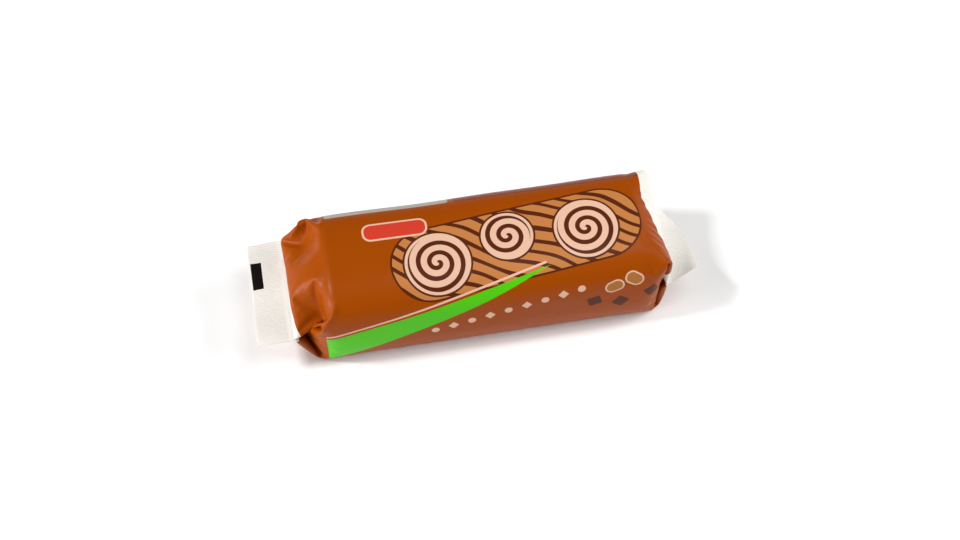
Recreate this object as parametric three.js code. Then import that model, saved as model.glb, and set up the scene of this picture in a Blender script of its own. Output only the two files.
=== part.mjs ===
// A shut flow-wrapped pack of swiss roll cake, lying on its back seam.
// The film and the cake inside it are one closed solid: a loft of girth rings
// that runs from one cut end of the film to the other.
// X is the length of the roll, Z is up, and the pack rests on z = 0.
import * as THREE from 'three';

// ---- driving dimensions, mm ----
const rollLength = 196;      // straight stretch over the cake
const bodyWidth = 79;
const bodyHeight = 62;
const crownRoundness = 2.9;  // superellipse exponent of the rounded top
const baseRoundness = 5;     // and of the squarer, settled bottom
const girthHeight = 30;      // height of the widest line of the section
const baseSink = 1.2;        // how much of the bottom curve is pressed flat

const sealHeight = 30;       // height of the end seals above the surface
const slopeRound = 4;        // where the film starts to leave the flat top
const topReach = 0.3;        // how far the flat top carries on, as a share of the slope
const baseReach = 0.95;      // and the bottom, which bags out before it rises
const leftSlope = 19;        // run of the film from the cake's edge to the seal
const rightSlope = 9;
const finWidth = 70;
const finLength = 23;
const finThickness = 1.2;    // four layers of film, pressed together
const tuckDepth = 17;        // how deep the side folds go in
const tuckPeak = 0.75;       // where on the slope they are deepest, as a share of it
const tuckClose = 0.78;      // and where they start to close before the seal

const seamWidth = 14;        // the back seam lies folded flat under the pack
const seamThickness = 0.5;
const seamStep = 0.3;        // run of the small step at each seam edge

const leftDroop = THREE.MathUtils.degToRad(4);
const rightDroopBack = THREE.MathUtils.degToRad(66);
const rightDroopFront = THREE.MathUtils.degToRad(-8);
const rightGather = 9;       // how far the right fin's front corner is drawn in
const droopBend = 5;         // the fin bends down over this length
const finWave = 1.3;         // height of the waves at the fin's cut edge
const finWaveLength = 46;

// ---- mesh counts ----
const topSteps = 20;
const tuckSteps = 4;         // each half of a side fold
const baseSteps = 7;         // each half of the bottom
const bodyRings = 14;
const slopeRings = 10;
const finRings = 6;
const sectionSamples = 240;
const seamClearance = 1.5;   // mm, how near a bottom station may come to a seam edge

// ---- the girth section ----

// The body's section as a closed curve, from the top centre round by +Y.
function makeBodySection() {
  const lowerHeight = girthHeight + baseSink;
  const points = [];
  for (let i = 0; i <= sectionSamples; i += 1) {
    const angle = Math.PI / 2 - (2 * Math.PI * i) / sectionSamples;
    const upper = Math.sin(angle) >= 0;
    const power = 2 / (upper ? crownRoundness : baseRoundness);
    const height = upper ? bodyHeight - girthHeight : lowerHeight;
    const across = Math.sign(Math.cos(angle)) * Math.abs(Math.cos(angle)) ** power;
    const rise = Math.sign(Math.sin(angle)) * Math.abs(Math.sin(angle)) ** power;
    const z = Math.max(girthHeight + height * rise, 0);
    points.push(new THREE.Vector2((bodyWidth / 2) * across, z));
  }
  const curve = new THREE.SplineCurve(points);
  curve.arcLengthDivisions = 4 * sectionSamples;
  return curve;
}

const bodySection = makeBodySection();
const girth = bodySection.getLength();
const finHalf = finWidth / 2;
const sideLength = girth / 2 - finWidth;
const baseStart = finHalf + sideLength;

// Stations round the girth, each one a distance from the top centre.
// A station also says which panel it is on, and how far up a side fold.
function makeStations() {
  const stations = [];
  const half = topSteps / 2;
  for (let i = 0; i < half; i += 1) stations.push({ along: (finHalf * i) / half, panel: 'top' });
  addSideFold(stations, finHalf, 1);
  for (const offset of baseOffsets()) {
    stations.push({ along: girth / 2 - offset, panel: 'base', offset });
  }
  addSideFold(stations, girth - baseStart, -1);
  for (let i = half - 1; i > 0; i -= 1) {
    stations.push({ along: girth - (finHalf * i) / half, panel: 'top' });
  }
  return stations;
}

// A side fold goes from its upper ridge (lift 1) to its lower ridge (lift -1).
function addSideFold(stations, start, side) {
  const steps = 2 * tuckSteps;
  for (let i = 0; i <= steps; i += 1) {
    const lift = side * (1 - (2 * i) / steps);
    stations.push({ along: start + (sideLength * i) / steps, panel: 'side', lift });
  }
}

// Offsets across the bottom, from +Y to -Y, with a sharp step at each seam edge.
function baseOffsets() {
  const edge = seamWidth / 2;
  const edges = [edge + seamStep, edge, -edge, -edge - seamStep];
  const offsets = [...edges];
  for (let i = 1; i < 2 * baseSteps; i += 1) {
    const offset = finHalf * (1 - i / baseSteps);
    if (edges.every((seamEdge) => Math.abs(seamEdge - offset) > seamClearance)) offsets.push(offset);
  }
  return offsets.sort((a, b) => b - a);
}

function isOnSeam(station) {
  return station.panel === 'base' && Math.abs(station.offset) < seamWidth / 2 + seamStep / 2;
}

// The same station on the full body and on the pressed seal, as (y, z).
function bodyPoint(station) {
  const point = bodySection.getPointAt(station.along / girth);
  const lift = isOnSeam(station) ? 0 : seamThickness;
  const grown = point.y + lift * (1 - point.y / bodyHeight);
  return new THREE.Vector2(point.x, grown);
}

function sealPoint(station) {
  const side = station.along < girth / 2 ? 1 : -1;
  const fromTop = side > 0 ? station.along : girth - station.along;
  const skin = finThickness / 2;
  if (station.panel === 'top') return new THREE.Vector2(side * fromTop, skin);
  if (station.panel === 'side') return new THREE.Vector2(side * finHalf, skin * station.lift);
  const seam = isOnSeam(station) ? seamThickness : 0;
  return new THREE.Vector2(side * (girth / 2 - fromTop), -skin - seam);
}

// ---- rings along the pack ----

function bodyRing(stations, x) {
  const ring = [];
  for (const station of stations) {
    const point = bodyPoint(station);
    ring.push(new THREE.Vector3(x, point.x, point.y));
  }
  return ring;
}

// Between the cake and the seal the top comes down, the bottom comes up and
// each side folds in to a V that is deepest just before the seal.
function slopeRing(stations, end, slope, t) {
  const fold = tuckDepth * Math.sin((Math.PI / 2) * Math.min(1, t / tuckPeak)) * notchFade(t);
  const ring = [];
  for (const station of stations) {
    const body = bodyPoint(station);
    const seal = sealPoint(station);
    const { x: run, y: closed } = slopeProfile(slope, reachOf(station)).getPoint(t);
    const y = THREE.MathUtils.lerp(body.x, seal.x, closed);
    const z = THREE.MathUtils.lerp(body.y, sealHeight + seal.y, closed);
    const tuck = station.panel === 'side' ? fold * (1 - Math.abs(station.lift)) : 0;
    ring.push(new THREE.Vector3(end * (rollLength / 2 + run), y - Math.sign(y) * tuck, z));
  }
  return ring;
}

// The run past the cake's edge as x, and how far the section has closed as y.
function slopeProfile(slope, reach) {
  return new THREE.QuadraticBezierCurve(
    new THREE.Vector2(-slopeRound, 0),
    new THREE.Vector2(slope * reach, 0),
    new THREE.Vector2(slope, 1),
  );
}

function reachOf(station) {
  if (station.panel === 'top') return topReach;
  if (station.panel === 'base') return baseReach;
  return THREE.MathUtils.lerp(baseReach, topReach, (station.lift + 1) / 2);
}

// The fold closes as it reaches the seal.
function notchFade(t) {
  return 1 - THREE.MathUtils.smoothstep(t, tuckClose, 1);
}

// The seal fin, which bends down by its droop over the first few millimetres.
function finRing(stations, end, slope, f) {
  const ring = [];
  for (const station of stations) {
    const seal = sealPoint(station);
    const across = seal.x / finHalf;
    const droop = end < 0 ? leftDroop : rightDroop(across);
    const travelled = f * finLength;
    const bent = droop * THREE.MathUtils.clamp(travelled / droopBend, 0, 1);
    const out = bendRun(travelled, droop);
    const drop = bendDrop(travelled, droop);
    const wave = finWave * f * Math.sin((2 * Math.PI * seal.x) / finWaveLength + end);
    const x = rollLength / 2 + slope + out + seal.y * Math.sin(bent);
    const z = sealHeight - drop + wave + seal.y * Math.cos(bent);
    const gather = end > 0 ? rightGather * f * ((1 - across) / 2) : 0;
    ring.push(new THREE.Vector3(end * x, seal.x + gather, z));
  }
  return ring;
}

function rightDroop(across) {
  const share = (across + 1) / 2;
  return THREE.MathUtils.lerp(rightDroopFront, rightDroopBack, share);
}

// How far out and down a strip gets that turns by droop over droopBend and
// then goes on straight.
function bendRun(length, droop) {
  const curved = Math.min(length, droopBend);
  const radius = droopBend / droop;
  return radius * Math.sin(curved / radius) + (length - curved) * Math.cos(droop);
}

function bendDrop(length, droop) {
  const curved = Math.min(length, droopBend);
  const radius = droopBend / droop;
  return radius * (1 - Math.cos(curved / radius)) + (length - curved) * Math.sin(droop);
}

function makeRings(stations) {
  const rings = [];
  for (let i = finRings; i > 0; i -= 1) rings.push(finRing(stations, -1, leftSlope, i / finRings));
  for (let i = slopeRings; i > 0; i -= 1) {
    rings.push(slopeRing(stations, -1, leftSlope, i / slopeRings));
  }
  const straight = rollLength - 2 * slopeRound;
  for (let i = 0; i <= bodyRings; i += 1) {
    rings.push(bodyRing(stations, straight * (i / bodyRings - 0.5)));
  }
  for (let i = 1; i <= slopeRings; i += 1) {
    rings.push(slopeRing(stations, 1, rightSlope, i / slopeRings));
  }
  for (let i = 1; i <= finRings; i += 1) rings.push(finRing(stations, 1, rightSlope, i / finRings));
  return rings;
}

// ---- the closed mesh ----

function loftRings(rings, stations) {
  const count = stations.length;
  const positions = rings.flat().flatMap((point) => point.toArray());
  const index = [];
  for (let r = 0; r < rings.length - 1; r += 1) {
    for (let k = 0; k < count; k += 1) {
      const a = r * count + k;
      const b = r * count + ((k + 1) % count);
      index.push(a, a + count, b, b, a + count, b + count);
    }
  }
  const last = (rings.length - 1) * count;
  for (const [a, b, c] of capTriangles(stations)) {
    index.push(c, b, a);
    index.push(last + a, last + b, last + c);
  }
  const geometry = new THREE.BufferGeometry();
  geometry.setAttribute('position', new THREE.Float32BufferAttribute(positions, 3));
  geometry.setIndex(index);
  return geometry;
}

// The cut edge of a fin is a thin strip: it is closed by triangles that step
// along its upper and lower sides together, from the +Y fold to the -Y fold.
function capTriangles(stations) {
  const count = stations.length;
  const across = stations.map((station) => sealPoint(station).x);
  const folds = stations.flatMap((station, k) => (station.lift === 0 ? [k] : []));
  const [start, finish] = folds;
  const triangles = [];
  let upper = start;
  let lower = start;
  while (upper !== finish || lower !== finish) {
    const nextUpper = (upper - 1 + count) % count;
    const nextLower = (lower + 1) % count;
    const lowerDone = lower === finish;
    const upperLeads = upper !== finish && (lowerDone || across[nextUpper] > across[nextLower]);
    if (upperLeads) {
      triangles.push([lower, upper, nextUpper]);
      upper = nextUpper;
    } else {
      triangles.push([lower, upper, nextLower]);
      lower = nextLower;
    }
  }
  return triangles.filter((corners) => new Set(corners).size === 3);
}

// The origin is under the middle of the pack's box, on the surface.
function centreOnBase(geometry) {
  geometry.computeBoundingBox();
  const { min, max } = geometry.boundingBox;
  geometry.translate(-(min.x + max.x) / 2, -(min.y + max.y) / 2, -min.z);
  return geometry;
}

const film = new THREE.MeshStandardMaterial({ color: 0xa8521a, roughness: 0.35, metalness: 0 });

const stations = makeStations();
const pack = new THREE.Mesh(centreOnBase(loftRings(makeRings(stations), stations)), film);
pack.name = 'pack';

const swissRollPack = new THREE.Group();
swissRollPack.add(pack);

export default swissRollPack;
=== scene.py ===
import math
import bpy
import numpy as np
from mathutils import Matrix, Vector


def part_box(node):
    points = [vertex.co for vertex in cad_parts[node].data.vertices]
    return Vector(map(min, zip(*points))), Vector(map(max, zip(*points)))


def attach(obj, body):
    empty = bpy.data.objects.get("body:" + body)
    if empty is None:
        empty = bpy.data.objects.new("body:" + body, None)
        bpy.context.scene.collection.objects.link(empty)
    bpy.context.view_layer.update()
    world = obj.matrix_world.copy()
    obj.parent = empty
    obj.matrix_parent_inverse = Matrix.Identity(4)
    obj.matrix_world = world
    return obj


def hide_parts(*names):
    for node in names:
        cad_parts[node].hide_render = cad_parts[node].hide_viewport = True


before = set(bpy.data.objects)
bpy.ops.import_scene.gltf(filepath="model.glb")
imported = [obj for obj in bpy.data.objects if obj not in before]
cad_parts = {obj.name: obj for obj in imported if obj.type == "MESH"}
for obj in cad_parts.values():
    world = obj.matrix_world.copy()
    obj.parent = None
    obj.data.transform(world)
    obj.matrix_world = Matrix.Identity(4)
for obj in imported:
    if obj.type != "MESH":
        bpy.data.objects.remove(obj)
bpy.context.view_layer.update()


# The roll in the pack: a soft sponge roll some 200 mm long, settled flat where it lies.
# It can't be seen, but the film is drawn over it, so its form comes first. Sizes are in
# millimetres, and an end is named by its side: -1 is the left one and 1 the right one.
metre = 1000.0
pack_low, pack_high = (np.array(corner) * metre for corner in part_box("pack"))
body_width = pack_high[1] - pack_low[1]
body_height = pack_high[2]
girth_height = 30.0
crown_roundness = 2.9
base_roundness = 5.0
base_sink = 1.2

roll_length = 196.0
roll_slack = 0.25
roll_edge_radius = {-1: 8.0, 1: 6.0}
roll_unevenness = 0.005
# Each swell is its radians a millimetre along x, y and z, and the angle it starts from.
roll_swells = ((0.077, 0.032, 0.0, 0.0), (0.043, 0.0, -0.059, 2.0))
steps_a_point = 8


def girth_points(count):
    """Even steps round the body's section: from under the middle, up the front (-Y),
    over the top and down the back. Returns the whole girth and the y and z of each."""
    turn = -math.pi / 2 - 2 * math.pi * np.linspace(0, 1, steps_a_point * count + 1)
    across, rise = np.cos(turn), np.sin(turn)
    power = np.where(rise >= 0, 2 / crown_roundness, 2 / base_roundness)
    reach = np.where(rise >= 0, body_height - girth_height, girth_height + base_sink)
    y = body_width / 2 * np.sign(across) * np.abs(across) ** power
    z = np.maximum(girth_height + reach * np.sign(rise) * np.abs(rise) ** power, 0)
    walked = np.concatenate([[0], np.cumsum(np.hypot(np.diff(y), np.diff(z)))])
    even = np.linspace(0, walked[-1], count, endpoint=False)
    return walked[-1], np.interp(even, walked, y), np.interp(even, walked, z)


# The film: one sheet of printed polypropylene, wrapped into a tube and pressed shut
# across both ends, with its sides tucked in. The tube is a grid of points that keep
# their distances, so closing the ends over the roll makes the real folds and ears.
film_step = 1.25
body_step = 3.0
fine_reach = 30.0
layer_gap = 0.3
tiny = 1e-6

# slope_run is how far each slope reaches past the roll, slope_film is the film that it
# takes up, and held_fin is the stretch after it that the sealing jaws hold.
fin_length = 23.0
fin_width = 70.0
seal_height = 30.0
slope_run = {-1: 19.0, 1: 9.0}
slope_film = {-1: 35.8, 1: 35.0}
held_fin = 4.5
roll_centre = pack_low[0] + fin_length + slope_run[-1] + roll_length / 2

# The columns come in fours, so that front and back match.
girth_measuring_points = 400
girth = girth_points(girth_measuring_points)[0]
columns = 4 * round(girth / film_step / 4)
column_step = girth / columns
section_y, section_z = girth_points(columns)[1:]
girth_place = column_step * np.arange(columns) - girth / 2


def film_stations():
    """Distances along the film from the middle of the roll: fine steps over the ends,
    wider ones over the straight body."""
    left = -(roll_length / 2 + slope_film[-1] + held_fin)
    right = roll_length / 2 + slope_film[1] + held_fin
    left_fine = fine_reach - roll_length / 2
    right_fine = roll_length / 2 - fine_reach
    spans = ((left, left_fine, film_step), (left_fine, right_fine, body_step),
             (right_fine, right, film_step))
    parts = [np.linspace(start, stop, round((stop - start) / step), endpoint=False)
             for start, stop, step in spans]
    return np.concatenate(parts + [[right]])


along = film_stations()
rows = len(along)
seal_root = {end: roll_length / 2 + slope_film[end] for end in (-1, 1)}
fin_rows = {end: np.where(end * along > seal_root[end] - tiny)[0] for end in (-1, 1)}
fold_before_end = 2.0
fold_start = roll_length / 2 - fold_before_end
slope_rows = np.where((np.abs(along) > fold_start)
                      & (along > -seal_root[-1]) & (along < seal_root[1]))[0]

film = np.empty((rows * columns, 3), np.float32)
film[:, 0] = np.repeat(along, columns)
film[:, 1] = np.tile(section_y, rows)
film[:, 2] = np.tile(section_z, rows) + layer_gap
free = np.ones((rows * columns, 1), np.float32)
for end in (-1, 1):
    for row in fin_rows[end]:
        free[row * columns:(row + 1) * columns] = 0


def film_links(row_jump, column_jump, share):
    """The links between each point and the one so many rows and columns on, in two
    sets, so that no point is in a set twice."""
    row, column = np.mgrid[0:rows - row_jump, 0:columns]
    turn_taking = row // row_jump if row_jump else column // abs(column_jump)
    sets = []
    for turn in (0, 1):
        i, j = row[turn_taking % 2 == turn], column[turn_taking % 2 == turn]
        first = i * columns + j
        second = (i + row_jump) * columns + (j + column_jump) % columns
        rest = np.hypot(along[i + row_jump] - along[i], column_jump * column_step)
        give = free[first] + free[second] + tiny
        sets.append((first, second, rest[:, None].astype(np.float32),
                     share * free[first] / give, share * free[second] / give))
    return sets


# Film hardly stretches, so those links hold in full. The diagonal ones give a little,
# and those that skip a point are weak, as thin film bends easily.
stretch_share, shear_share, bend_share = 1.0, 0.6, 0.1
stretch = film_links(1, 0, stretch_share) + film_links(0, 1, stretch_share)
shear = film_links(1, 1, shear_share) + film_links(1, -1, shear_share)
stiffness = film_links(2, 0, bend_share) + film_links(0, 2, bend_share)


def keep_lengths(links):
    """Moves both points of each link towards or away from each other, to its length."""
    for first, second, rest, first_share, second_share in links:
        a, b = film[first], film[second]
        gap = b - a
        length = np.sqrt(np.einsum("ij,ij->i", gap, gap))[:, None] + tiny
        gap *= 1 - rest / length
        film[first] = a + first_share * gap
        film[second] = b - second_share * gap


tuck = (girth / 2 - fin_width) / 2
top = columns // 2
side_layers = 4
ridge = round(fin_width / 2 / column_step)
valley = ridge + round(tuck / column_step)


def folded_section():
    """The section pressed flat with both sides tucked in: four layers at each side and
    two between. Returns each point's y, and its height from the middle of the seal."""
    side = np.sign(girth_place + tiny)
    out = np.abs(girth_place)
    half = fin_width / 2
    turns = [0, half, half + tuck, half + 2 * tuck, girth / 2]
    y = side * np.interp(out, turns, [0, half, half - tuck, half, 0])
    layer = side_layers - 1 - np.searchsorted(turns[1:-1], out)
    return y, (layer - (side_layers - 1) / 2) * layer_gap


folded_y, folded_z = folded_section()

left_droop = math.radians(4)
right_droop_back = math.radians(66)
right_droop_front = math.radians(-8)
right_gather = 9.0
droop_bend = 5.0
least_droop = 0.0001
fin_wave = 1.3
fin_wave_length = 46.0


def fin_place(end, out, y, skin, share=1.0):
    """Where a point of an end fin lies: out millimetres from the seal's root, at y
    across it and skin above its middle. The fin bends down over its first stretch."""
    across = y / (fin_width / 2)
    spread = (across + 1) / 2
    right_droop = right_droop_front + (right_droop_back - right_droop_front) * spread
    droop = share * np.where(end < 0, left_droop, right_droop)
    droop = np.where(np.abs(droop) < least_droop, least_droop, droop)
    curved = np.clip(out, 0, droop_bend)
    turned = droop * curved / droop_bend
    straight = out - curved
    x = droop_bend / droop * np.sin(turned) + straight * np.cos(droop)
    drop = droop_bend / droop * (1 - np.cos(turned)) + straight * np.sin(droop)
    lift = np.clip(out / fin_length, 0, 1) * share
    wave = fin_wave * lift * np.sin(2 * math.pi * y / fin_wave_length + end)
    gather = right_gather * lift * (1 - across) / 2 if end > 0 else 0
    return x + skin * np.sin(turned), y + gather, wave - drop + skin * np.cos(turned)


def place_fins(closed, drooped):
    """Moves the held rows at both ends: the section closes to the flat seal, and the
    seal comes in towards the roll as the slope's film swings down."""
    for end in (-1, 1):
        slack = slope_film[end] ** 2 - slope_run[end] ** 2
        run = math.sqrt(slope_film[end] ** 2 - closed ** 2 * slack)
        y = section_y + closed * (folded_y - section_y)
        z = section_z + closed * (seal_height + folded_z - section_z)
        for row in fin_rows[end]:
            out = end * along[row] - seal_root[end]
            fin_x, fin_y, fin_z = fin_place(end, out, folded_y, 0, drooped)
            place = film[row * columns:(row + 1) * columns]
            place[:, 0] = end * (roll_length / 2 + run + fin_x)
            place[:, 1] = y + closed * (fin_y - folded_y)
            place[:, 2] = z + closed * fin_z


most_push = 1.0
lying_film = 1.5


def rest_on_roll():
    """Pushes film that is inside the roll out to its skin, or off its end face. Film
    that lies under the roll stays on the floor."""
    x, y, z = film.T
    level = z - girth_height
    upper = level >= 0
    power = np.where(upper, crown_roundness, base_roundness)
    top_reach = body_height - roll_slack - girth_height
    reach = np.where(upper, top_reach, girth_height + base_sink)
    edge_radius = np.where(x < 0, roll_edge_radius[-1], roll_edge_radius[1])
    past = np.abs(x) - (roll_length / 2 - edge_radius)
    bite = np.sqrt(1 - np.clip(past / edge_radius, 0, 1) ** 2)
    swell = sum(np.sin(a * x + b * y + c * z + start) for a, b, c, start in roll_swells)
    inset = (1 - (1 - bite) * edge_radius / girth_height) * (1 + roll_unevenness * swell)
    half = (body_width / 2 - roll_slack) * inset
    reach = reach * inset
    filled = np.abs(y / half) ** power + np.abs(level / reach) ** power
    lean_y = power * np.abs(y / half) ** (power - 1) * np.sign(y) / half
    lean_z = power * np.abs(level / reach) ** (power - 1) * np.sign(level) / reach
    steepness = np.hypot(lean_y, lean_z) + tiny
    depth = (1 - filled) / steepness
    inside = (filled < 1) & (past < edge_radius) & (z > lying_film) & (free[:, 0] > 0)
    off_end = inside & (depth > edge_radius - past)
    push = np.where(inside & ~off_end, np.minimum(depth, most_push), 0)
    film[:, 1] += push * lean_y / steepness
    film[:, 2] += push * lean_z / steepness
    film[off_end, 0] = np.sign(x[off_end]) * roll_length / 2
    np.maximum(film[:, 2], layer_gap, out=film[:, 2])


def layer_pairs(line, reach):
    """Pairs of points that a fold line brings over each other, the upper one first."""
    steps = np.arange(1, reach + 1)
    side = np.array([-1, 1])[:, None]
    upper = (top + side * (line - steps)).ravel() % columns
    lower = (top + side * (line + steps)).ravel() % columns
    return [(slope_rows[:, None] * columns + part).ravel() for part in (upper, lower)]


folds = [layer_pairs(valley, valley - ridge + 1), layer_pairs(ridge, valley - ridge),
         layer_pairs(2 * valley - ridge, valley - ridge)]


def keep_layers_apart():
    """Keeps the folded film's layers from passing through each other."""
    for upper, lower in folds:
        short = np.maximum(layer_gap - film[upper, 2] + film[lower, 2], 0) / 2
        film[upper, 2] += short
        film[lower, 2] -= short


def outward():
    """The film's outward direction at each point."""
    grid = film.reshape(rows, columns, 3)
    lengthwise = np.gradient(grid, axis=0)
    round_girth = np.roll(grid, -1, 1) - np.roll(grid, 1, 1)
    normal = np.cross(lengthwise, round_girth)
    return normal / (np.linalg.norm(normal, axis=2, keepdims=True) + tiny)


# The pack is closed in three stages: the ends shut over full air, most of the air goes
# as the fins droop and the packer's touch dents the slopes, and then the film settles.
# A push is in millimetres a step, and a dent is its place along and across the film,
# its length and width, and its push. Each stage runs from 0 to 1, the first one softly.
air_push = 0.012
body_air_share = 0.08
air_left = 0.1
air_edge_inside = 12.0
air_edge_width = 14.0
film_weight = 0.001
drag = 0.9
fastest = 0.6
length_passes = 3
closing_steps = 500
droop_steps = 120
settling_steps = 280
dents = ((-112, -33, 4, 5, -0.16), (-108, 24, 4, 9, -0.02))

air_edge = (np.abs(along) - roll_length / 2 + air_edge_inside) / air_edge_width
air = air_push * (body_air_share + (1 - body_air_share) * np.clip(air_edge, 0, 1))
dent_push = np.zeros((rows, columns))
for dent_along, dent_across, length, width, push in dents:
    spread = np.exp(-((along[:, None] - dent_along) / length) ** 2
                    - ((girth_place - dent_across) / width) ** 2)
    dent_push += push * spread

before = film.copy()
for step in range(closing_steps + droop_steps + settling_steps):
    closed = min(1, (step + 1) / closing_steps)
    closed = closed * closed * (3 - 2 * closed)
    drooped = min(1, max(0, (step - closing_steps) / droop_steps))
    motion = drag * (film - before)
    speed = np.sqrt(np.einsum("ij,ij->i", motion, motion))[:, None]
    motion *= np.minimum(1, fastest / (speed + tiny))
    before = film.copy()
    film += free * motion
    push = air[:, None] * (1 + (air_left - 1) * drooped) + dent_push * drooped
    film += free * (outward() * push[:, :, None]).reshape(-1, 3).astype(np.float32)
    film[:, 2] -= film_weight * free[:, 0]
    place_fins(closed, drooped)
    for _ in range(length_passes):
        keep_lengths(stretch + shear + stiffness)
    rest_on_roll()
    keep_layers_apart()
film[:, 0] += roll_centre


def new_piece(name, rings, places, material, zipped=()):
    """A mesh object from rows of points, each row a closed loop. places holds the film
    coordinates of each point, and of the first one again at the end of each row.
    zipped names the end rows that are shut by joining their two halves."""
    row_count, count = rings.shape[:2]
    row, column = (part.ravel() for part in np.mgrid[0:row_count - 1, 0:count])
    after = (column + 1) % count
    faces = np.stack([row * count + column, row * count + after,
                      (row + 1) * count + after, (row + 1) * count + column], 1)
    corners = np.stack([places[row, column], places[row, column + 1],
                        places[row + 1, column + 1], places[row + 1, column]], 1)
    for last in zipped:
        near = np.arange(count // 2 - 1)
        far = count - 1 - near
        ring = [near, near + 1, far - 1, far]
        cap = np.stack(ring if last else ring[::-1], 1)
        faces = np.concatenate([faces, last * count + cap])
        corners = np.concatenate([corners, places[last][cap]])
    mesh = bpy.data.meshes.new(name)
    mesh.from_pydata((rings.reshape(-1, 3) / metre).tolist(), [], faces.tolist())
    mesh.polygons.foreach_set("use_smooth", [True] * len(faces))
    film_map = mesh.uv_layers.new(name="film")
    film_map.data.foreach_set("uv", corners.astype(np.float32).ravel())
    mesh.materials.append(material)
    piece = bpy.data.objects.new(name, mesh)
    bpy.context.scene.collection.objects.link(piece)
    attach(piece, "root")
    return piece


def linear(hex_colour):
    """An sRGB hex colour as linear red, green, blue and alpha."""
    parts = [int(hex_colour[i:i + 2], 16) / 255 for i in (1, 3, 5)]
    return (*(part / 12.92 if part <= 0.04045 else ((part + 0.055) / 1.055) ** 2.4
              for part in parts), 1.0)


def add_node(tree, kind, links=None, **settings):
    """Adds a shader node. links maps an input's name or number to a value, or to the
    output that feeds it."""
    node = tree.nodes.new(kind)
    for name, value in settings.items():
        setattr(node, name, value)
    for name, source in (links or {}).items():
        if isinstance(source, bpy.types.NodeSocket):
            tree.links.new(source, node.inputs[name])
        else:
            node.inputs[name].default_value = source
    return node


# Polypropylene film, printed in flat inks on its inner face and backed with white. The
# inks lie under the clear film, so every colour has the same silky gloss, which shows
# as soft highlights along the folds.
printed_film = bpy.data.materials.new("reverse_printed_polypropylene_film")
printed_film.use_nodes = True
tree = printed_film.node_tree
tree.nodes.clear()

# Places and sizes of the print are on the flat film: along the pack from the roll's
# middle, and across it from the top's middle, plus towards the back. Tilts are degrees.
film_place = add_node(tree, "ShaderNodeUVMap", uv_map="film").outputs["UV"]
upright, half_turn = 90, 180


def placed(centre, tilt=0.0):
    """The links of a mapping node that measures from a motif's own middle and tilt."""
    turn = (0, 0, math.radians(tilt))
    return {"Vector": film_place, "Location": (*centre, 0), "Rotation": turn}


def bar(centre, length, width, corner, tilt=0.0):
    """The mask of a bar with rounded corners: one inside, nought outside."""
    core = (length / 2 - corner, width / 2 - corner, 0)
    place = add_node(tree, "ShaderNodeMapping", placed(centre, tilt), vector_type="TEXTURE")
    folded = add_node(tree, "ShaderNodeVectorMath", {0: place.outputs[0]}, operation="ABSOLUTE")
    past = add_node(tree, "ShaderNodeVectorMath", {0: folded.outputs[0], 1: core},
                    operation="SUBTRACT")
    out = add_node(tree, "ShaderNodeVectorMath", {0: past.outputs[0], 1: (0, 0, 0)},
                   operation="MAXIMUM")
    gap = add_node(tree, "ShaderNodeVectorMath", {0: out.outputs[0]}, operation="LENGTH")
    near = add_node(tree, "ShaderNodeMath", {0: gap.outputs["Value"], 1: corner},
                    operation="LESS_THAN")
    return near.outputs[0]


def disc(centre, radius):
    """The mask of a disc: a bar that is all corner."""
    return bar(centre, 2 * radius, 2 * radius, radius)


def below(point, tilt):
    """The mask of all that lies below a tilted line through a point."""
    place = add_node(tree, "ShaderNodeMapping", placed(point, tilt), vector_type="TEXTURE")
    parts = add_node(tree, "ShaderNodeSeparateXYZ", {0: place.outputs[0]})
    under = add_node(tree, "ShaderNodeMath", {0: parts.outputs[1], 1: 0.0},
                     operation="LESS_THAN")
    return under.outputs[0]


def wavy_stripes(pitch, tilt, dark_part):
    """The mask of dark stripes that wander like the grain of a cut roll."""
    radians_a_unit = 20
    wander, wander_scale = 6.0, 0.75
    place = add_node(tree, "ShaderNodeMapping", placed((0, 0), tilt), vector_type="TEXTURE")
    wave = add_node(tree, "ShaderNodeTexWave", {
        "Vector": place.outputs[0], "Scale": 2 * math.pi / radians_a_unit / pitch,
        "Distortion": wander, "Detail": 0.0, "Detail Scale": wander_scale})
    dark = add_node(tree, "ShaderNodeMath", {0: wave.outputs["Fac"], 1: dark_part},
                    operation="LESS_THAN")
    return dark.outputs[0]


def spiral(centre, pitch, filled_part):
    """The mask of a spiral line about a centre, filled_part of its pitch wide."""
    place = add_node(tree, "ShaderNodeMapping", placed(centre), vector_type="TEXTURE")
    parts = add_node(tree, "ShaderNodeSeparateXYZ", {0: place.outputs[0]})
    turn = add_node(tree, "ShaderNodeMath", {0: parts.outputs[1], 1: parts.outputs[0]},
                    operation="ARCTAN2")
    reach = add_node(tree, "ShaderNodeVectorMath", {0: place.outputs[0]}, operation="LENGTH")
    climb = add_node(tree, "ShaderNodeMath",
                     {0: turn.outputs[0], 1: pitch / 2 / math.pi, 2: reach.outputs["Value"]},
                     operation="MULTIPLY_ADD")
    wound = add_node(tree, "ShaderNodeMath", {0: climb.outputs[0], 1: pitch},
                     operation="FLOORED_MODULO")
    line = add_node(tree, "ShaderNodeMath", {0: wound.outputs[0], 1: filled_part * pitch},
                    operation="LESS_THAN")
    return line.outputs[0]


# Inks, laid one over another, and one band of painted shade. Each layer is its colour and the
# masks that bound it.
unprinted = "#E3DFD8"
ground = "#974200"
painted_shade_brown = "#7E3400"
caramel = "#B87640"
cocoa = "#52230F"
cream = "#DAB198"
label_red = "#C63C2A"
leaf_green = "#4DC010"
hazel = "#A66A32"
panel_silver = "#A9A294"
eye_black = "#120D0B"
outline = 1.2

print_left, print_right, print_corner = -130.5, 136.0, 1
print_middle = ((print_left + print_right) / 2, 0)
layers = [(ground, bar(print_middle, print_right - print_left, 2 * girth, print_corner))]

# Painted shade: a darker brown band along the back shoulder of the top, where the film turns
# away from the light. It is not an ink of the print.
back_shoulder_painted_shade = {"centre": (49, 33), "length": 120, "width": 9, "corner": 0.5}
layers.append((painted_shade_brown, bar(**back_shoulder_painted_shade)))

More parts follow.
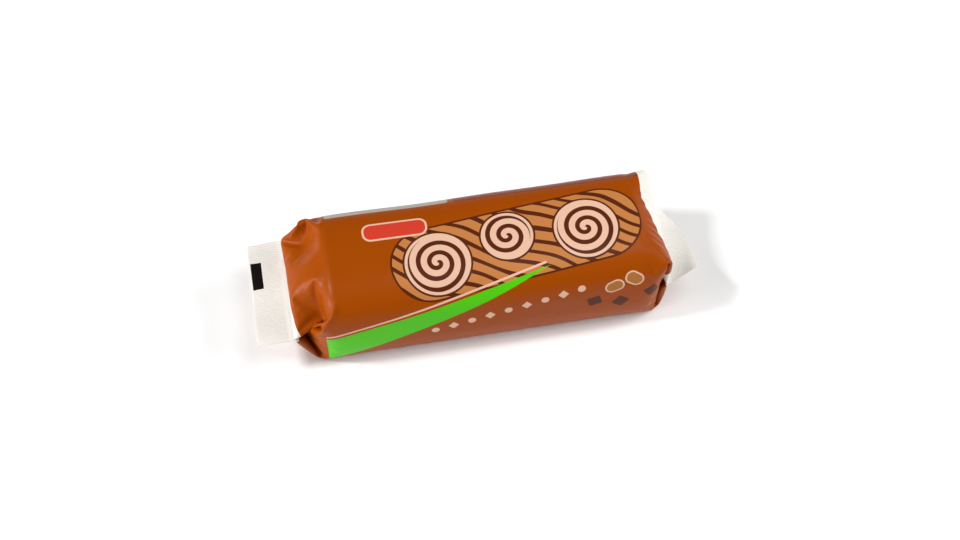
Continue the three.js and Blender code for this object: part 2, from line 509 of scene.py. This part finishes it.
# Near the right end the print stops along a slanted edge, so a milky corner is left.
bare_corner_edge, bare_corner_tilt = (103, 12), 114
bare_corner_left = 102.5
layers.append((unprinted, below(bare_corner_edge, bare_corner_tilt),
               below((bare_corner_left, 0), upright)))

# A silver panel on the back, with ruled lines.
panel = {"centre": (-52, 55), "length": 75, "width": 51, "corner": 2}
rule = {"length": 67, "width": 0.7, "corner": 0.3}
rule_count, first_rule, rule_pitch = 6, 35, 8
layers.append((panel_silver, bar(**panel)))
for step in range(rule_count):
    rule_centre = (panel["centre"][0], first_rule + rule_pitch * step)
    layers.append((cocoa, bar(rule_centre, **rule)))

# The striped log on the top, with three round slices that each show the roll's spiral.
log_centre, log_length, log_width, log_tilt = (21, -8), 150, 45, 6
grain_pitch, grain_tilt, grain_dark_part = 8.0, 62, 0.25
log = bar(log_centre, log_length, log_width, log_width / 2, log_tilt)
log_edge = bar(log_centre, log_length + 2 * outline, log_width + 2 * outline,
               log_width / 2 + outline, log_tilt)
layers.append((cocoa, log_edge))
layers.append((caramel, log))
layers.append((cocoa, log, wavy_stripes(grain_pitch, grain_tilt, grain_dark_part)))

slices = (((-27, -14), 19.5), ((16, -3), 15.5), ((63, -5), 19.0))
slice_rind = 1.8
spiral_pitch, spiral_fill = 6.6, 0.43
for centre, radius in slices:
    layers.append((cocoa, disc(centre, radius + outline)))
    layers.append((cream, disc(centre, radius)))
    layers.append((cocoa, disc(centre, radius - slice_rind),
                   spiral(centre, spiral_pitch, spiral_fill)))

# A green wedge along the front edge, with a cream line over it.
wedge_left, wedge_upper, wedge_lower = -98, -58, -84
upper_tilt, lower_tilt = 13.6, 23.4
line_length, line_width, line_gap = 138, 1.4, 2.5
layers.append((leaf_green, below((wedge_left, wedge_upper), upper_tilt),
               below((wedge_left, wedge_lower), lower_tilt + half_turn),
               below((wedge_left, 0), upright)))
line_centre = (wedge_left + line_length / 2 * math.cos(math.radians(upper_tilt)),
               wedge_upper + line_length / 2 * math.sin(math.radians(upper_tilt)) + line_gap)
layers.append((cream, bar(line_centre, line_length, line_width, line_width / 2, upper_tilt)))

# The bare red label, with its cream rim.
label_centre = (-49, 12)
label_rim = {"length": 39, "width": 12.5, "corner": 5.2}
label_face = {"length": 36.6, "width": 10.1, "corner": 4.2}
layers.append((cream, bar(label_centre, **label_rim)))
layers.append((label_red, bar(label_centre, **label_face)))

# On the front: a row of dots and diamonds by turns, two nuts and three square chips.
mark_count = 9
first_mark, mark_step = (-33, -62), (11, 2.4)
dot_radius = 2.4
diamond_size, diamond_corner, diamond_tilt = 4.6, 0.4, 45
for step in range(mark_count):
    centre = (first_mark[0] + mark_step[0] * step, first_mark[1] + mark_step[1] * step)
    if step % 2:
        mark = bar(centre, diamond_size, diamond_size, diamond_corner, diamond_tilt)
    else:
        mark = disc(centre, dot_radius)
    layers.append((cream, mark))

nuts = (((75, -45), 20), ((87, -41), -35))
nut_rim = {"length": 12, "width": 9, "corner": 4.4}
nut_face = {"length": 10, "width": 7, "corner": 3.4}
for centre, tilt in nuts:
    layers.append((cream, bar(centre, tilt=tilt, **nut_rim)))
    layers.append((hazel, bar(centre, tilt=tilt, **nut_face)))

chips = (((63, -56), 15), ((79, -60), 50), ((98, -54), 30))
chip_size, chip_corner = 8, 1
for centre, tilt in chips:
    layers.append((cocoa, bar(centre, chip_size, chip_size, chip_corner, tilt)))

# The black mark that the packing machine's sensor reads, on the left fin.
eye_mark_out, eye_mark_across = 18.2, 12.5
eye_mark = {"length": 6.5, "width": 17.7, "corner": 0.2}
eye_mark_centre = (-seal_root[-1] - eye_mark_out, eye_mark_across)
layers.append((eye_black, bar(eye_mark_centre, **eye_mark)))

# A mix node of kind RGBA takes its colours at these inputs and gives the mix here.
under_colour, over_colour, mixed_colour = 6, 7, 2
colour = linear(unprinted)
for ink, cover, *more_masks in layers:
    for mask in more_masks:
        both = add_node(tree, "ShaderNodeMath", {0: cover, 1: mask}, operation="MULTIPLY")
        cover = both.outputs[0]
    inputs = {"Factor": cover, under_colour: colour, over_colour: linear(ink)}
    painted = add_node(tree, "ShaderNodeMix", inputs, data_type="RGBA")
    colour = painted.outputs[mixed_colour]

# The clear face is smooth but never quite flat, so its gloss breaks up softly. How much
# it mirrors is matched to the pack, which shines only weakly.
crinkle_pitch = 9.0
crinkle_depth = 0.12
film_roughness = 0.34
polypropylene_ior = 1.49
mirror_level = 0.1
crinkle = add_node(tree, "ShaderNodeTexNoise", {
    "Vector": film_place, "Scale": 1 / crinkle_pitch, "Detail": 1.0}, noise_dimensions="2D")
relief = add_node(tree, "ShaderNodeBump", {
    "Height": crinkle.outputs[0], "Strength": 1.0, "Distance": crinkle_depth / metre})
shader = add_node(tree, "ShaderNodeBsdfPrincipled", {
    "Base Color": colour, "Roughness": film_roughness, "IOR": polypropylene_ior,
    "Specular IOR Level": mirror_level, "Normal": relief.outputs[0]})
add_node(tree, "ShaderNodeOutputMaterial", {"Surface": shader.outputs[0]})

# The piece takes the rows from one fin's root to the other's. Over the roll's straight
# stretch the film hardly bends along its length, so there each third row is enough.
straight_row_skip = 3
film_grid = film.reshape(rows, columns, 3)
film_normals = outward().reshape(rows, columns, 3)
open_rows = np.arange(fin_rows[-1][-1] - 1, fin_rows[1][0] + 2)
over_the_ends = np.abs(along[open_rows]) > roll_length / 2 - fine_reach - body_step
covered = open_rows[over_the_ends | (open_rows % straight_row_skip == 0)]
film_places = np.empty((rows, columns + 1, 2))
film_places[:, :, 0] = along[:, None]
film_places[:, :, 1] = column_step * np.arange(columns + 1) - girth / 2
body = new_piece("film_round_the_roll", film_grid[covered], film_places[covered], printed_film)
smoother = body.modifiers.new("smooth", "SUBSURF")
smoother.levels = smoother.render_levels = 1
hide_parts("pack")


# The end fins: both ends of the tube, pressed together between hot ribbed jaws and cut
# off with a toothed knife. Four layers of film lie at each side, where it is tucked in,
# and two between, so there is a small step in the fin, and the jaws leave fine grooves.
fin_steps_out = 34
fin_step_across = 1 / 3
root_half = 0.55
pressed_half = 0.17
two_layer_share = 0.7
press_start, press_fade = 1.5, 2.5
rib_pitch = 5 / 3
rib_depth = 0.16
rib_start, rib_end, rib_fade = 3.5, 20.0, 1.0
tooth_pitch = 2.0
tooth_depth = 1.2
edge_thinning = 0.5
lapped_seam_half = 7.0
lapped_seam_lift = 0.25
# The fins' under sides and the back seam take places this far over, where no motif lies.
bare_film = 200.0
for end, name in ((-1, "end_fin_left"), (1, "end_fin_right")):
    across = np.linspace(-fin_width / 2, fin_width / 2, round(fin_width / fin_step_across) + 1)
    tooth = np.abs((across / tooth_pitch) % 1 - 0.5) * 2
    reach = fin_length - tooth_depth * tooth
    out = np.linspace(0, 1, fin_steps_out)[:, None] * reach
    y = np.broadcast_to(across, out.shape)
    pressed = np.clip((out - press_start) / press_fade, 0, 1)
    layer_share = np.where(np.abs(y) > fin_width / 2 - tuck, 1.0, two_layer_share)
    half = root_half + (pressed_half * layer_share - root_half) * pressed
    at_side = np.abs(y) > fin_width / 2 - fin_step_across / 2
    half = np.where(at_side, half * edge_thinning, half)
    rising = np.clip((out - rib_start) / rib_fade, 0, 1)
    ending = np.clip((rib_end - out) / rib_fade, 0, 1)
    rib = rib_depth * (rising * ending) * np.sin(2 * math.pi * y / rib_pitch)
    fin_faces = []
    for side in (1, -1):
        seam = lapped_seam_lift * (np.abs(y) < lapped_seam_half) * (side < 0) * pressed
        x, fin_y, z = fin_place(end, out, y, side * (half + seam) + rib)
        x = roll_centre + end * (roll_length / 2 + slope_run[end] + x)
        fin_faces.append(np.stack([x, fin_y, seal_height + z], -1))
    order = slice(None) if end < 0 else slice(None, None, -1)
    rings = np.concatenate([fin_faces[0][:, order], fin_faces[1][:, order][:, ::-1]], 1)
    s_place = end * (seal_root[end] + out)
    top_places = np.stack([s_place, y], -1)[:, order]
    low_places = np.stack([s_place, y + bare_film], -1)[:, order][:, ::-1]
    places = np.concatenate([top_places, low_places, top_places[:, :1]], 1)
    new_piece(name, rings, places, printed_film, zipped=(fin_steps_out - 1,))


# The back seam: the sheet's two edges, sealed face to face between ribbed wheels and
# laid flat along the underside. It is bare film, a little proud of the film round it.
seam_half_columns = 5
seam_step = 0.4
seam_thickness = 0.24
seam_root = 0.02
seam_rib_pitch = 1.6
seam_rib_depth = 0.05
seam_floor_gap = 0.01
seam_columns = np.arange(-seam_half_columns, seam_half_columns + 1) % columns
seam_along = along[open_rows]
fine = np.arange(seam_along[0], seam_along[-1], seam_step)


def finely(grid):
    """The seam's part of a grid of vectors, read off at fine steps along the pack."""
    flat = grid[open_rows][:, seam_columns].reshape(len(open_rows), -1)
    parts = [np.interp(fine, seam_along, flat[:, k]) for k in range(flat.shape[1])]
    return np.stack(parts, 1).reshape(len(fine), len(seam_columns), 3)


line, lean = finely(film_grid), finely(film_normals)
seam_rib = seam_rib_depth * np.sin(2 * math.pi * fine / seam_rib_pitch)[:, None, None]
outer = line + lean * (seam_thickness + seam_rib)
inner = line + lean * seam_root
rings = np.concatenate([inner, outer[:, ::-1]], 1)
rings[:, :, 2] = np.maximum(rings[:, :, 2], seam_floor_gap)
places = np.full((len(fine), rings.shape[1] + 1, 2), bare_film)
new_piece("back_seam", rings, places, printed_film, zipped=(0, len(fine) - 1))


# The floor: a sweep of matt white acrylic, lit a little from below. It takes all the
# light there is, so it comes out plain white but for the pack's soft shadows.
floor_half = 3000.0 / metre
sweep_white = "#F3F3F3"
sweep_roughness = 0.9
glow_white = "#FFFFFF"
glow_strength = 0.04
white_sweep = bpy.data.materials.new("matt_white_acrylic_sweep")
white_sweep.use_nodes = True
sweep_shader = white_sweep.node_tree.nodes["Principled BSDF"]
sweep_shader.inputs["Base Color"].default_value = linear(sweep_white)
sweep_shader.inputs["Roughness"].default_value = sweep_roughness
sweep_shader.inputs["Emission Color"].default_value = linear(glow_white)
sweep_shader.inputs["Emission Strength"].default_value = glow_strength
floor_mesh = bpy.data.meshes.new("studio_floor")
floor_corners = [(-floor_half, -floor_half, 0), (floor_half, -floor_half, 0),
                 (floor_half, floor_half, 0), (-floor_half, floor_half, 0)]
floor_mesh.from_pydata(floor_corners, [], [(0, 1, 2, 3)])
floor_mesh.materials.append(white_sweep)
floor = bpy.data.objects.new("studio_floor", floor_mesh)
bpy.context.scene.collection.objects.link(floor)


# The lights: a large window high on the left, and softboxes overhead, to the right and
# low on the left for the pack's end. Places are in metres, and power is in watts.
def add_softbox(name, place, size, watts):
    """Adds a square area light that faces the pack's middle on the floor."""
    light = bpy.data.lights.new(name, "AREA")
    light.size = size
    light.energy = watts
    lamp = bpy.data.objects.new(name, light)
    lamp.location = place
    flat = math.hypot(place[0], place[1])
    lamp.rotation_euler = (math.atan2(flat, place[2]), 0, math.atan2(place[0], -place[1]))
    bpy.context.scene.collection.objects.link(lamp)


add_softbox("window_light", place=(-1.85, 0.2, 2.15), size=0.45, watts=49)
add_softbox("overhead_light", place=(0.4, -0.1, 1.35), size=0.5, watts=4)
add_softbox("right_light", place=(1.25, -0.1, 0.7), size=0.9, watts=16)
add_softbox("left_light", place=(-1.6, -0.4, 0.35), size=0.6, watts=20)

# White walls all round send back a little of that light.
wall_white = "#FFFFFF"
wall_strength = 0.13
world = bpy.data.worlds.new("studio")
world.use_nodes = True
walls = world.node_tree.nodes["Background"]
walls.inputs["Color"].default_value = linear(wall_white)
walls.inputs["Strength"].default_value = wall_strength
bpy.context.scene.world = world
bpy.context.scene.view_settings.view_transform = "Standard"


# The camera, a metre off, on the view's angle and scale. The point half way up the
# pack's middle lies at centre_x, centre_y of the frame.
camera_azimuth = math.radians(-9.5)
camera_elevation = math.radians(60)
camera_distance = 1000.0
pixels_per_mm = 1.65
frame_width, frame_height = 960, 540
centre_x, centre_y = 473, 262
sensor_width = 36.0
camera_data = bpy.data.cameras.new("camera")
camera_data.sensor_width = sensor_width
camera_data.lens = sensor_width * pixels_per_mm * camera_distance / frame_width
camera_data.shift_x = (frame_width / 2 - centre_x) / frame_width
camera_data.shift_y = (centre_y - frame_height / 2) / frame_width
camera = bpy.data.objects.new("camera", camera_data)
back = np.array([math.sin(camera_azimuth) * math.cos(camera_elevation),
                 -math.cos(camera_azimuth) * math.cos(camera_elevation),
                 math.sin(camera_elevation)])
camera.location = (back * camera_distance + np.array([0, 0, body_height / 2])) / metre
camera.rotation_euler = (math.pi / 2 - camera_elevation, 0, camera_azimuth)
bpy.context.scene.collection.objects.link(camera)
bpy.context.scene.camera = camera
